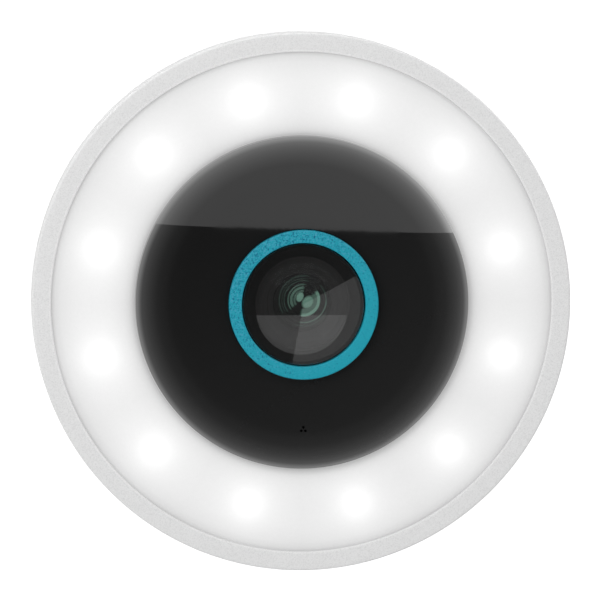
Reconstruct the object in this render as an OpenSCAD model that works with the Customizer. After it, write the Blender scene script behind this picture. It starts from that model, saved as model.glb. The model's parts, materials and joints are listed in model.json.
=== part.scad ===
// Round floodlight security camera on a three-axis wall bracket.
// The row frame is +Z up with the front facing -Y, and the wall plane is y = 0.
// Every part is drawn in the axial frame, where z is the distance from the wall,
// y is up and x is to the right. outward() then turns it into the row frame.

/* [Head] */
// Outside diameter of the head, over the front bezel
head_d = 170; // [168:1:176]
// Visible width of the bezel around the diffuser
bezel_w = 6; // [5:0.5:7]
// Diameter of the black face cover
face_d = 105.2; // [105:0.1:106]
// Height of the face cover's front above its edge
face_rise = 9.3; // [7:0.1:10]
// Number of LEDs in the light ring
led_count = 12; // [6:1:18]
// Diameter of the circle that the LEDs stand on
led_pcd = 131.6; // [128:0.2:134]
// Number of cooling fin places around the housing
fin_places = 36; // [24:12:48]
// Thickness of one cooling fin
fin_t = 1.8; // [1.4:0.1:2.4]

/* [Lens] */
// Outside diameter of the coloured trim ring
trim_outer_d = 47; // [46:0.2:47.2]
// Inside diameter of the coloured trim ring
trim_inner_d = 38.6; // [38.4:0.2:39.4]
// Diameter of the front lens element
front_lens_d = 28.8; // [27:0.2:28.8]

/* [Wall bracket] */
// Diameter of the cosmetic cover over the wall base
base_cover_d = 78; // [76:1:90]
// Diameter of the circle of the wall screws
wall_screw_pcd = 56; // [54:1:60]
// Radius of each wall screw hole
wall_screw_r = 2.3; // [2:0.1:2.6]
// Radius of the tilt bolt
bolt_r = 3; // [2.5:0.5:3]

/* [Cable gland] */
// Radius of the hole that grips the supply cord
cord_r = 3.5; // [3:0.1:4]

/* [Hidden] */
$fn = 96;

// General: the overlap of joined shapes, and the clearances between parts
eps = 0.05;
slip = 0.1;
run_fit = 0.05;
screw_fit = 0.4;
cut = 1;
pilot_r = 1.25;

// Wall base and pan swivel
gasket_t = 1.5;
gasket_hole_extra = 0.7;
flange_r = 36;
flange_top = gasket_t + 5;
flange_edge = 0.8;
screw_sink_r = wall_screw_r * 2;
screw_sink_depth = 1.8;
boss_r = 21;
boss_top = 13.8;
boss_edge = 0.6;
cup_r = 17.2;
cup_floor = 8;
foot_r = 15.2;
foot_bottom = 9;
foot_top = 13;
stop_tab_half = 6;
stop_block_half = 8;
pan_block_in = foot_r + 0.3;
pan_block_top = boss_top - 1;
pan_tab_out = cup_r - 0.3;
pan_tab_z = [foot_bottom + 0.6, foot_top - 0.3];
thrust_hole_r = 5;
wave_t = 1.1;
post_r = 13;
post_top = 23;

// Base cover: its back edge, its rounded shoulder and its neck opening
cover_r = base_cover_d / 2;
cover_back = 0.8;
cover_shoulder = [7, 7.6];
cover_shoulder_z = 4;
cover_top = 12;
cover_neck_edge = 0.4;
cover_neck_gap = 0.7;
cover_neck_z = 10;
cover_under = [cover_r - 8, 9.4];

// Pan collar and its grips
collar_r = 25.5;
collar_bottom = 7.2;
collar_lip_z = 14.2;
collar_top = 17.5;
collar_edge = [0.5, 1];
collar_lip_r = post_r + 0.4;
collar_grips = 24;
collar_grip_r = 1.5;
collar_grip_offset = 0.9;
collar_grip_z = 12.6;

// Tilt yoke
pivot_z = 46;
yoke_r = 17;
yoke_start = 29;
yoke_floor = pivot_z - 12;
yoke_half_x = 14;
yoke_gap = 7;
ear_r = 12;
hex_pocket_r = 5.8;
hex_pocket_depth = 3.9;
hex_head_r = 5.6;
hex_head_h = 3.8;
bolt_end_x = 24.3;
disc_r = 10;
knob_washer_r = 7;

// Tilt knob
knob_x = 15.3;
knob_end_x = 29;
knob_r = 12;
knob_hub_r = 7.5;
knob_hub_h = 1.6;
knob_edge = 0.8;
knob_crown = 2.5;
knob_bore_depth = 10;
knob_flutes = 8;
knob_flute_r = 3.2;
knob_flute_offset = 1.9;

// Neck
lug_r = 10.5;
lug_half = 5.5;
neck_shoulder_r = 14;
neck_shoulder_z = pivot_z + 13.2;
neck_edge = [1, 0.8];
spigot_r = 9;
spigot_end = 77.5;
spigot_edge = 0.6;
seal_groove = [10.6, 12.6];
seal_groove_depth = 1.6;
neck_boss_top = 70;
neck_boss_r = 14.5;
washer_r = 12.6;
stop_washer_z = neck_boss_top + 0.1;
stop_washer_t = 1.2;
roll_tab_out = 15.8;
roll_block = [13.2, 16.5];
roll_block_top = 71.9;
nut_r = 13.8;
nut_h = 4.6;

// Rear housing
back_z = 62;
wall_t = 3;
bay_r = 55;
bay_inner_r = bay_r - wall_t;
back_fillet = 4;
floor_z = back_z + wall_t;
shelf_z = 84;
shelf_top = shelf_z + wall_t;
rim_top = 97;
rim_r = 80.5;
rim_inner_r = 77;
head_r = head_d / 2;
flange_edge_r = head_r - 0.5;
flange_chamfer = 0.6;
bezel_screw_ring = 82.4;
bezel_screw_count = 6;
bezel_screw_start = 35;
bezel_screw_hole = 1.4;
fin_r = 79;
fin_foot_z = back_z + 4.5;
fin_arc = [16, 11.5];
fin_arc_centre = [bay_r + 8, back_z + 16];
fin_end_z = shelf_z - 3.6;
gland_gap_half = 11;
column_ring = 46;
column_r = 4;
column_angles = [45, 135, 205, 335];
column_pilot = 8;
board_post_ring = 42;
board_post_r = 3;
board_post_angles = [0, 90, 180, 292];
short_post_ring = 27;
short_post_r = 2.5;
short_post_angles = [20, 70, 110, 160];

// Back face fittings
speaker_at = [-22, -27];
sound_hole_r = 0.95;
sound_hole_step = 3.2;
sound_field_r = 8.2;
sound_rows = 3;
button_at = [24, -24];
button_r = 3.4;
button_hole_r = 3.6;
button_recess_r = 6.5;
button_flange_r = 4.8;
button_stem_r = 1.5;
button_stem_end = 79.2;
switch_z = 80.4;
vent_at = [26, 26];
vent_hole_r = 3.5;
vent_r = 6;
vent_h = 1.8;

// Cable gland, along its own axis from the head's centre line
gland_z = 73;
gland_boss_r = 10.5;
gland_boss_start = 49;
gland_face = 57;
gland_thread_r = 6;
gland_inner_end = 45;
gland_hex_r = 9.8;
gland_hex_h = 5;
gland_collet_r = 7.2;
gland_collet_end = 68;
gland_bore_r = 4.2;
gland_seal_r = 5.1;
gland_seat_r = 5.2;
gland_seat_z = 63;
gland_seal_end = 72;
nut_skirt = [7.3, 9.3];
nut_skirt_start = 62.2;
nut_dome_centre = [6.3, 70];
nut_dome = [3, 4];
nut_end = 74;
nut_inside_r = 5.3;
nut_inside_z = [69.2, 72.2];
nut_grips = 12;

// Front bezel and diffuser
seal_t = 0.6;
seal_gap = 0.2;
bezel_front = 101;
bezel_round = 2;
bezel_lip_round = 0.6;
bezel_inner_r = head_r - bezel_w;
bezel_step_z = 99.45;
bezel_skirt_start = shelf_top + eps;
bezel_flare = 2.5;
bezel_pilot_r = 1.15;
bezel_pilot_depth = 8;
face_r = face_d / 2;
face_edge_z = 98.7;
diffuser_foot_z = rim_top + seal_t;
diffuser_foot_r = 50.4;
diffuser_edge_z = 98.9;
diffuser_flange_z = 99.4;
diffuser_rise = 3.4;
diffuser_mid_r = (face_r + bezel_inner_r) / 2;
diffuser_half = (bezel_inner_r - face_r) / 2 - slip;
diffuser_wall = 2.2;
diffuser_inner_rise = diffuser_rise - 0.6;

// Light ring
led_start = 180 / led_count;
led_ring = led_pcd / 2;
pad_t = 0.5;
board_t = 1.6;
led_board_z = shelf_top + pad_t;
board_top = led_board_z + board_t;
led_board_in = bay_r + 1;
led_board_out = rim_inner_r - 1;
led_half = 1.75;
led_h = 0.8;
led_screw_ring = 61;
led_screw_count = 6;
led_screw_hole = 1.7;
reflector_z = [93.6, 94.8];
cup_small = [3, 4];
cup_large = [9.5, 10.2];
cup_h = 5.6;

// Face cover
face_side_top = face_edge_z + 1.5;
face_front = face_side_top + face_rise;
face_round = 15.6;
face_roll_end = 32;
face_shoulder_in = face_round * (1 - cos(face_roll_end));
face_shoulder_z = face_side_top + face_rise * sin(face_roll_end) - face_shoulder_in;
face_wall = 2.4;
face_foot_z = [face_edge_z, face_side_top];
cover_post_ring = 40;
cover_post_r = 3;
cover_post_angles = [35, 145, 215, 325];
cover_post_top = 107.6;
cover_post_pilot = 103;
mic_y = -40;
mic_boss_r = 4.2;
mic_boss_z = 106.4;
mic_hole_r = 0.45;
mic_hole_ring = 0.85;

// Lens trim, window and hood
trim_outer = trim_outer_d / 2;
trim_inner = trim_inner_d / 2;
trim_front = 112;
trim_seat = 108;
trim_edge = 0.35;
hood_r = trim_inner - 0.2;
hood_wall = 2.2;
window_back = 109.6;
window_front = 110.8;
hood_cone_z = 105.4;
hood_step_z = 105.05;

// Lens barrel and elements
front_lens_r = front_lens_d / 2;
barrel_r = 16.2;
barrel_z = [98, 105];
barrel_tube_r = 7;
barrel_tube_z = 93.6;
front_seat_z = 103;
middle_r = 9;
middle_z = [98.7, 100.6];
rear_r = 6;
rear_z = [95.6, 97.2];
stop_z = [98, 98.6];
stop_hole_r = 2.2;
baffle_z = 101;

// Camera module
chassis_z = 94;
chassis_top = 96;
chassis_r = bay_inner_r - 0.3;
sensor_board_z = 89;
sensor_z = sensor_board_z + board_t;
sensor_post = [17, 14];
sensor_post_r = 2.4;
holder_half = [12.6, 11];
holder_top = 97.8;
filter_z = [92.2, 93.3];
filter_x = [-4.5, 11.5];
filter_half_y = 4.6;
filter_pane_x = [-3.4, 4.2];
filter_pane_w = 6.4;
filter_pane_half = 3.6;
filter_slot_x = 11.7;
motor_r = 2.6;
motor_half = 5;
motor_y = 14.2;
motor_z = sensor_z + 2.8;

// Boards and their parts
main_board_z = 84;
main_board_r = 49;
power_board_z = 71;
power_board_ring = [17.5, 49.5];
power_board_edge_y = -4;
radar_y = [29, 47];
radar_half = 14;
radar_z = 100;
radar_post = [11, 38];
patch_pitch = 9;
antenna_x = 43;
antenna_half = [2.8, 12];
mic_board_z = 102;
mic_board_half = [5, 3.5];

// Turns the axial frame into the row frame.
module outward() { rotate([90, 0, 0]) children(); }

// Points of an arc about (cx, cy), from angle a0 to a1.
function arc(cx, cy, rx, ry, a0, a1, n = 8) =
    [for (i = [0:n]) let (a = a0 + (a1 - a0) * i / n) [cx + rx * cos(a), cy + ry * sin(a)]];

// A plain disc between two distances from the wall.
module disc(r, z0, z1) { translate([0, 0, z0]) cylinder(r = r, h = z1 - z0); }

// A hexagon between two distances from the wall.
module hexagon(r, z0, z1) { translate([0, 0, z0]) cylinder(r = r, h = z1 - z0, $fn = 6); }

// A ring between two distances from the wall.
module ring(r_in, r_out, z0, z1) {
    difference() {
        disc(r_out, z0, z1);
        disc(r_in, z0 - cut, z1 + cut);
    }
}

// A turned solid from (radius, distance from the wall) points.
module turned(points) { rotate_extrude() polygon(points); }

// Copies at the given angles on a circle.
module at_angles(angles, radius) {
    for (a = angles) rotate(a) translate([radius, 0, 0]) children();
}

// Evenly spaced copies on a circle.
module around(count, radius, start = 0) {
    for (i = [0:count - 1]) rotate(start + i * 360 / count) translate([radius, 0, 0]) children();
}

// A wedge of a ring, centred on an angle.
module ring_sector(r_in, r_out, z0, z1, angle, half) {
    translate([0, 0, z0])
        rotate(angle - half)
            rotate_extrude(angle = 2 * half)
                translate([r_in, 0]) square([r_out - r_in, z1 - z0]);
}

// Turns children drawn along z so that they lie along x, about the tilt pivot.
module along_pivot() { translate([0, 0, pivot_z]) rotate([0, 90, 0]) children(); }

// A disc whose axis is x, at the tilt pivot.
module pivot_disc(r, x0, x1) { along_pivot() disc(r, x0, x1); }

// A block given by its two corners.
module block(a, b) { translate(a) cube(b - a); }

// Copies at the four corners (+x, +y), (-x, +y), (-x, -y) and (+x, -y).
module at_corners(corner) {
    for (x = [-1, 1], y = [-1, 1]) translate([x * corner.x, y * corner.y, 0]) children();
}

// A pan head screw: the head stands on z0, and the shank runs down to z1.
module screw_up(head_r, head_h, shank_r, z0, z1) {
    difference() {
        disc(head_r, z0, z0 + head_h);
        hexagon(head_r * 0.45, z0 + head_h / 2, z0 + head_h + cut);
    }
    disc(shank_r, z1, z0 + eps);
}

// The same screw driven from behind: the head hangs below z0.
module screw_down(head_r, head_h, shank_r, z0, z1) {
    translate([0, 0, 2 * z0]) mirror([0, 0, 1]) screw_up(head_r, head_h, shank_r, z0, 2 * z0 - z1);
}

// ---------------------------------------------------------------- wall base

module wall_gasket() {
    color("dimgray") difference() {
        disc(flange_r, 0, gasket_t);
        around(4, wall_screw_pcd / 2, 45) disc(wall_screw_r + gasket_hole_extra, -cut, gasket_t + cut);
    }
}

module wall_base() {
    color("gainsboro") {
        difference() {
            turned([
                [0, gasket_t], [flange_r, gasket_t], [flange_r, flange_top - flange_edge],
                [flange_r - flange_edge, flange_top], [boss_r, flange_top],
                [boss_r, boss_top - boss_edge], [boss_r - boss_edge, boss_top],
                [cup_r, boss_top], [cup_r, cup_floor], [0, cup_floor]
            ]);
            around(4, wall_screw_pcd / 2, 45) {
                disc(wall_screw_r, 0, flange_top + cut);
                disc(screw_sink_r, flange_top - screw_sink_depth, flange_top + cut);
            }
        }
        ring_sector(pan_block_in, cup_r + eps, cup_floor - eps, pan_block_top, 270, stop_block_half);
    }
}

module base_cover() {
    color("white") turned(concat(
        [
            [flange_r + slip, cover_back], [cover_r - cover_neck_edge, cover_back],
            [cover_r, cover_back + cover_neck_edge]
        ],
        arc(cover_r - cover_shoulder.x, cover_shoulder_z, cover_shoulder.x, cover_shoulder.y, 0, 84, 10),
        [
            [collar_r + cover_neck_gap + cover_neck_edge, cover_top],
            [collar_r + cover_neck_gap, cover_top - cover_neck_edge],
            [collar_r + cover_neck_gap, cover_neck_z]
        ],
        [cover_under, [flange_r + slip, flange_top]]
    ));
}

module pan_thrust_washer() {
    color("ivory") ring(thrust_hole_r, foot_r - seal_gap, cup_floor, foot_bottom);
}

module pan_collar() {
    color("white") difference() {
        turned([
            [boss_r + slip, collar_bottom], [collar_r - collar_edge.x, collar_bottom],
            [collar_r, collar_bottom + collar_edge.x], [collar_r, collar_top - collar_edge.y],
            [collar_r - collar_edge.y, collar_top], [collar_lip_r + cover_neck_edge, collar_top],
            [collar_lip_r, collar_top - cover_neck_edge], [collar_lip_r, collar_lip_z],
            [boss_r + slip, collar_lip_z]
        ]);
        around(collar_grips, collar_r + collar_grip_offset)
            disc(collar_grip_r, collar_grip_z, collar_top + cut);
    }
}

// ---------------------------------------------------------------- arm

module yoke_ears() {
    top = pivot_z + ear_r + cut;
    intersection() {
        disc(yoke_r, yoke_floor - eps, top);
        union() {
            pivot_disc(ear_r, -yoke_half_x, yoke_half_x);
            block([-yoke_half_x, -ear_r, yoke_floor - cut], [yoke_half_x, ear_r, pivot_z]);
        }
    }
}

module arm() {
    color("gainsboro") difference() {
        union() {
            turned([
                [0, foot_bottom], [foot_r, foot_bottom], [foot_r, foot_top], [post_r, foot_top],
                [post_r, post_top], [yoke_r, yoke_start], [yoke_r, yoke_floor], [0, yoke_floor]
            ]);
            ring_sector(foot_r - eps, pan_tab_out, pan_tab_z[0], pan_tab_z[1], 90, stop_tab_half);
            yoke_ears();
        }
        block([-yoke_gap, -yoke_r - cut, yoke_floor], [yoke_gap, yoke_r + cut, pivot_z + yoke_r]);
        pivot_disc(bolt_r + run_fit, -yoke_half_x - cut, yoke_half_x + cut);
        along_pivot() hexagon(hex_pocket_r, -yoke_half_x - cut, hex_pocket_depth - yoke_half_x);
    }
}

module pan_wave_washer() {
    color("silver") ring(post_r + 0.3, foot_r - slip, foot_top, foot_top + wave_t);
}

module friction_disc() {
    difference() {
        pivot_disc(disc_r, lug_half + slip, yoke_gap - eps);
        pivot_disc(bolt_r + seal_gap, 0, yoke_half_x);
    }
}

module friction_discs() {
    color("dimgray") {
        friction_disc();
        mirror([1, 0, 0]) friction_disc();
    }
}

module tilt_bolt() {
    color("silver") {
        pivot_disc(bolt_r, -yoke_half_x + cut, bolt_end_x);
        along_pivot() hexagon(hex_head_r, -yoke_half_x, hex_head_h - yoke_half_x);
    }
}

module knob_washer() {
    color("silver") difference() {
        pivot_disc(knob_washer_r, yoke_half_x, knob_x - slip);
        pivot_disc(bolt_r + seal_gap, 0, yoke_half_x * 2);
    }
}

module tilt_knob() {
    color("white") difference() {
        along_pivot() turned([
            [0, knob_x], [knob_hub_r, knob_x], [knob_hub_r, knob_x + knob_hub_h],
            [knob_r - knob_edge, knob_x + knob_hub_h], [knob_r, knob_x + knob_hub_h + knob_edge],
            [knob_r, knob_end_x - knob_crown], [knob_r - knob_edge, knob_end_x - knob_edge],
            [knob_r - knob_crown, knob_end_x], [0, knob_end_x]
        ]);
        pivot_disc(bolt_r + run_fit, knob_x - cut, knob_x + knob_bore_depth);
        along_pivot() around(knob_flutes, knob_r + knob_flute_offset)
            disc(knob_flute_r, knob_x + knob_hub_h + slip, knob_end_x + cut);
    }
}

// ---------------------------------------------------------------- neck

module neck() {
    shoulder_top = back_z - 0.4;
    color("gainsboro") difference() {
        union() {
            pivot_disc(lug_r, -lug_half, lug_half);
            block([-lug_half, -lug_r, pivot_z], [lug_half, lug_r, neck_shoulder_z + eps]);
            turned([
                [0, neck_shoulder_z], [neck_shoulder_r - neck_edge.x, neck_shoulder_z],
                [neck_shoulder_r, neck_shoulder_z + neck_edge.y], [neck_shoulder_r, shoulder_top],
                [spigot_r, shoulder_top], [spigot_r, spigot_end - spigot_edge],
                [spigot_r - spigot_edge, spigot_end], [0, spigot_end]
            ]);
        }
        pivot_disc(bolt_r + run_fit, -lug_half - cut, lug_half + cut);
        ring(seal_groove[0], seal_groove[1], back_z - seal_groove_depth, back_z + cut);
    }
}

module neck_seal() {
    color("dimgray")
        ring(seal_groove[0] + slip, seal_groove[1] - slip, back_z - seal_groove_depth, back_z - eps);
}

module stop_washer() {
    z1 = stop_washer_z + stop_washer_t;
    color("silver") {
        ring(spigot_r + run_fit, washer_r, stop_washer_z, z1);
        ring_sector(washer_r - eps, roll_tab_out, stop_washer_z, z1, 270, stop_tab_half);
    }
}

module neck_wave_washer() {
    z0 = stop_washer_z + stop_washer_t;
    color("silver") ring(spigot_r + seal_gap, washer_r, z0, z0 + stop_washer_t);
}

module neck_nut() {
    z0 = stop_washer_z + 2 * stop_washer_t;
    color("silver") difference() {
        hexagon(nut_r, z0, z0 + nut_h);
        disc(spigot_r + run_fit, z0 - cut, z0 + nut_h + cut);
    }
}

// ---------------------------------------------------------------- rear housing

function fin_profile() = concat(
    [[bay_r - eps, shelf_z + eps], [bay_r - eps, fin_foot_z]],
    arc(fin_arc_centre.x, fin_arc_centre.y, fin_arc.x, fin_arc.y, -90, -14, 8),
    [[fin_r, fin_end_z], [fin_r, shelf_z + eps]]
);

module fins() {
    for (i = [0:fin_places - 1])
        let (a = i * 360 / fin_places)
            if (abs(a - 270) > gland_gap_half)
                rotate(a) rotate([90, 0, 0]) translate([0, 0, -fin_t / 2])
                    linear_extrude(height = fin_t) polygon(fin_profile());
}

module housing_shell() {
    turned(concat(
        [[spigot_r + slip, back_z]],
        arc(bay_r - back_fillet, back_z + back_fillet, back_fillet, back_fillet, -90, 0, 6),
        [
            [bay_r, shelf_z], [flange_edge_r - flange_chamfer, shelf_z],
            [flange_edge_r, shelf_z + flange_chamfer],
            [flange_edge_r, shelf_top], [rim_r, shelf_top], [rim_r, rim_top],
            [rim_inner_r, rim_top], [rim_inner_r, shelf_top], [bay_r, shelf_top],
            [bay_r, rim_top], [bay_inner_r, rim_top], [bay_inner_r, floor_z],
            [neck_boss_r, floor_z], [neck_boss_r, neck_boss_top], [spigot_r + slip, neck_boss_top]
        ]
    ));
}

// Hexagonal field of small sound holes behind the speaker.
module speaker_holes() {
    for (i = [-sound_rows:sound_rows], j = [-sound_rows:sound_rows])
        let (x = (i + j / 2) * sound_hole_step, y = j * sound_hole_step * sqrt(3) / 2)
            if (norm([x, y]) < sound_field_r)
                translate([speaker_at.x + x, speaker_at.y + y, 0])
                    disc(sound_hole_r, back_z - cut, floor_z + cut);
}

// Turns children drawn along z so that they point down out of the housing.
module gland_axis() { translate([0, 0, gland_z]) rotate([90, 0, 0]) children(); }

module housing_posts() {
    z0 = floor_z - eps;
    ring_sector(roll_block[0], roll_block[1], z0, roll_block_top, 90, stop_block_half);
    at_angles(column_angles, column_ring) disc(column_r, z0, chassis_z);
    at_angles(board_post_angles, board_post_ring) disc(board_post_r, z0, main_board_z);
    at_angles(short_post_angles, short_post_ring) disc(short_post_r, z0, power_board_z);
    gland_axis() disc(gland_boss_r, gland_boss_start, gland_face);
}

module back_wall_holes() {
    speaker_holes();
    translate(button_at) {
        disc(button_hole_r, back_z - cut, floor_z + cut);
        disc(button_recess_r, back_z - cut, back_z + cut);
    }
    translate(vent_at) disc(vent_hole_r, back_z - cut, floor_z + cut);
    gland_axis() disc(gland_thread_r + slip, gland_inner_end - cut, gland_face + cut);
}

module screw_pilots() {
    around(bezel_screw_count, bezel_screw_ring, bezel_screw_start)
        disc(bezel_screw_hole, shelf_z - cut, shelf_top + cut);
    around(led_screw_count, led_screw_ring) disc(pilot_r, shelf_z + 0.5, shelf_top + cut);
    at_angles(column_angles, column_ring) disc(pilot_r, chassis_z - column_pilot, chassis_z + cut);
    at_angles(board_post_angles, board_post_ring)
        disc(pilot_r, main_board_z - column_pilot, main_board_z + cut);
}

module rear_housing() {
    color("white") difference() {
        union() {
            housing_shell();
            fins();
            housing_posts();
        }
        back_wall_holes();
        screw_pilots();
    }
}

module outer_seal() {
    color("dimgray") ring(rim_inner_r + seal_gap, rim_r - seal_gap, rim_top, rim_top + seal_t);
}

module inner_seal() {
    color("dimgray") ring(bay_inner_r + seal_gap, bay_r - seal_gap, rim_top, rim_top + seal_t);
}

module vent_plug() {
    color("dimgray") translate(vent_at) {
        difference() {
            turned([
                [0, back_z - vent_h], [vent_r - 1, back_z - vent_h],
                [vent_r, back_z - vent_h + 1], [vent_r, back_z], [0, back_z]
            ]);
            rotate(30) around(3, vent_r - 0.4) disc(1, back_z - 2 * vent_h, back_z - 0.6);
        }
        disc(vent_hole_r - slip, back_z - eps, floor_z + vent_h);
    }
}

module pair_button() {
    color("dimgray") translate(button_at) {
        disc(button_r, back_z + seal_gap, floor_z + seal_gap);
        disc(button_flange_r, floor_z + seal_gap - eps, floor_z + 1.1);
        disc(button_stem_r, floor_z + 1, button_stem_end);
    }
}

module speaker() {
    color("black") translate(speaker_at) turned([
        [9.5, floor_z], [14, floor_z], [14, floor_z + 2.6], [12.5, floor_z + 2.6],
        [8, floor_z + 5], [8, floor_z + 9], [0, floor_z + 9], [0, floor_z + 4.4],
        [3, floor_z + 4.4], [9.5, floor_z + 1.4]
    ]);
}

// ---------------------------------------------------------------- cable gland

module cable_gland() {
    color("gray") gland_axis() difference() {
        union() {
            disc(gland_thread_r, gland_inner_end, gland_face + eps);
            hexagon(gland_hex_r, gland_face, gland_face + gland_hex_h);
            disc(gland_collet_r, gland_face + gland_hex_h - eps, gland_collet_end);
        }
        disc(gland_bore_r, gland_inner_end - cut, gland_collet_end + cut);
        disc(gland_seat_r, gland_seat_z, gland_collet_end + cut);
    }
}

module gland_nut() {
    color("gray") gland_axis() difference() {
        turned(concat(
            [[nut_skirt[0], nut_skirt_start], [nut_skirt[1], nut_skirt_start], [nut_skirt[1], gland_collet_end]],
            arc(nut_dome_centre.x, nut_dome_centre.y, nut_dome.x, nut_dome.y, 0, 80, 6),
            [
                [gland_bore_r, nut_end], [gland_bore_r, nut_inside_z[1]],
                [nut_inside_r, nut_inside_z[1]], [nut_inside_r, nut_inside_z[0]],
                [nut_skirt[0], nut_inside_z[0]]
            ]
        ));
        around(nut_grips, nut_skirt[1] + 1.1) disc(1.5, nut_skirt_start - cut, 69.5);
    }
}

module gland_seal() {
    color("black") gland_axis() ring(cord_r, gland_seal_r, gland_seat_z + slip, gland_seal_end);
}

// ---------------------------------------------------------------- light ring

module front_bezel() {
    color("whitesmoke") difference() {
        turned(concat(
            [
                [rim_r + seal_gap, bezel_skirt_start], [flange_edge_r - seal_gap, bezel_skirt_start],
                [head_r, shelf_top + bezel_flare]
            ],
            arc(head_r - bezel_round, bezel_front - bezel_round, bezel_round, bezel_round, 0, 90, 6),
            arc(bezel_inner_r + bezel_lip_round, bezel_front - bezel_lip_round,
                bezel_lip_round, bezel_lip_round, 90, 180, 4),
            [[bezel_inner_r, bezel_step_z], [rim_r + seal_gap, bezel_step_z]]
        ));
        around(bezel_screw_count, bezel_screw_ring, bezel_screw_start)
            disc(bezel_pilot_r, shelf_top - cut, shelf_top + bezel_pilot_depth);
    }
}

module bezel_screws() {
    color("silver") around(bezel_screw_count, bezel_screw_ring, bezel_screw_start)
        screw_down(2, 1.7, 1.1, shelf_z, shelf_top + bezel_pilot_depth - 1);
}

module diffuser() {
    color("white") turned(concat(
        [
            [diffuser_foot_r, diffuser_foot_z], [diffuser_foot_r, face_edge_z - eps],
            [face_r + slip, face_edge_z - eps]
        ],
        arc(diffuser_mid_r, diffuser_edge_z, -diffuser_half, diffuser_rise, 0, 180, 24),
        [
            [bezel_inner_r + slip, diffuser_flange_z], [rim_r, diffuser_flange_z],
            [rim_r, diffuser_foot_z], [rim_inner_r, diffuser_foot_z]
        ],
        arc(diffuser_mid_r, diffuser_foot_z, diffuser_half - diffuser_wall, diffuser_inner_rise, 0, 180, 16)
    ));
}

module reflector() {
    color("white") difference() {
        union() {
            ring(bay_r + 0.6, rim_inner_r - 0.4, reflector_z[0], reflector_z[1]);
            around(led_count, led_ring, led_start)
                translate([0, 0, board_top + slip]) cylinder(r1 = cup_small[1], r2 = cup_large[1], h = cup_h);
        }
        around(led_count, led_ring, led_start)
            translate([0, 0, board_top]) cylinder(r1 = cup_small[0], r2 = cup_large[0], h = cup_h + seal_gap);
    }
}

module led_ring_plate(inset, z0, z1) {
    difference() {
        ring(led_board_in + inset, led_board_out - inset, z0, z1);
        around(led_screw_count, led_screw_ring) disc(led_screw_hole, z0 - cut, z1 + cut);
    }
}

module thermal_pad() { color("gray") led_ring_plate(seal_gap, shelf_top, led_board_z); }

module led_board() { color("white") led_ring_plate(0, led_board_z, board_top); }

module led_chips() {
    color("yellow") around(led_count, led_ring, led_start)
        block([-led_half, -led_half, board_top], [led_half, led_half, board_top + led_h]);
}

module led_board_screws() {
    color("silver") around(led_screw_count, led_screw_ring) screw_up(2.8, 1.8, 1.2, board_top, shelf_z + 1);
}

// ---------------------------------------------------------------- face cover

module face_shell() {
    turned(concat(
        [
            [face_r - face_wall, face_foot_z[0]], [face_r, face_foot_z[0]],
            [face_r, face_shoulder_z]
        ],
        arc(face_r - face_round, face_foot_z[1], face_round, face_rise, face_roll_end, 90, 16),
        [
            [trim_outer + 0.5, face_front], [trim_outer + 0.3, trim_seat],
            [trim_inner + slip, trim_seat], [trim_inner + slip, trim_seat - 1.8],
            [trim_outer + 3, trim_seat - 1.2]
        ],
        arc(face_r - face_round, face_foot_z[1], face_round - face_wall, face_rise - 2.3, 90, 0, 14)
    ));
}

module face_cover() {
    color("black") difference() {
        union() {
            face_shell();
            at_angles(cover_post_angles, cover_post_ring) disc(cover_post_r, chassis_top, cover_post_top);
            translate([0, mic_y, 0]) disc(mic_boss_r, mic_boss_z, cover_post_top);
        }
        translate([0, mic_y, 0]) around(3, mic_hole_ring, 90) disc(mic_hole_r, mic_boss_z - cut, trim_front);
        at_angles(cover_post_angles, cover_post_ring) disc(pilot_r, chassis_top - cut, cover_post_pilot);
    }
}

module cover_screws() {
    color("silver") at_angles(cover_post_angles, cover_post_ring)
        screw_down(2.6, 1.7, 1.2, chassis_z, cover_post_pilot - 1);
}

module lens_trim_ring() {
    color("steelblue") turned([
        [trim_inner, trim_seat], [trim_outer, trim_seat], [trim_outer, trim_front - trim_edge],
        [trim_outer - trim_edge, trim_front], [trim_inner + trim_edge, trim_front],
        [trim_inner, trim_front - trim_edge]
    ]);
}

module lens_window() { color("lightgray", 0.3) disc(hood_r, window_back, window_front); }

module lens_hood() {
    hood_in = hood_r - hood_wall;
    mouth = front_lens_r + 0.5;
    color("black") turned([
        [hood_in, chassis_top], [hood_r, chassis_top], [hood_r, window_back],
        [hood_r - 1.2, window_back], [mouth, hood_cone_z], [mouth, hood_step_z],
        [hood_in, hood_step_z]
    ]);
}

// The barrel's inside steps down in baffles between the elements.
module lens_barrel() {
    front_in = front_lens_r + eps;
    middle_in = middle_r + eps;
    rear_in = rear_r + eps;
    color("black") turned([
        [rear_r - 2, barrel_tube_z], [barrel_tube_r, barrel_tube_z], [barrel_tube_r, barrel_z[0]],
        [barrel_r, barrel_z[0]], [barrel_r, barrel_z[1]], [front_in, barrel_z[1]],
        [front_in, front_seat_z], [12, front_seat_z], [11.2, 102.3], [11.6, 101.9], [10.4, 101.4],
        [10.8, baffle_z], [middle_in, baffle_z], [middle_in, barrel_z[0]], [rear_in, barrel_z[0]],
        [rear_in, 95], [rear_r - 2, 95]
    ]);
}

// A turned lens: rim radius, rim span, front rise and back rise.
module lens_element(r, z0, z1, front_rise, back_rise) {
    turned(concat(
        arc(0, z0, r, -back_rise, 90, 0, 8),
        arc(0, z1, r, front_rise, 0, 90, 12)
    ));
}

// A strongly curved front face over a hollow back.
module lens_front_element() {
    color("lightgray", 0.3) turned(concat(
        arc(0, front_seat_z, 11, 1.9, 90, 0, 8),
        [[front_lens_r, front_seat_z]],
        arc(0, 104.2, front_lens_r, 3.4, 0, 90, 14)
    ));
}

module lens_middle_element() {
    color("lightgray", 0.3) lens_element(middle_r, middle_z[0], middle_z[1], 1.5, 0);
}

module aperture_stop() { color("black") ring(stop_hole_r, middle_r, stop_z[0], stop_z[1]); }

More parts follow.
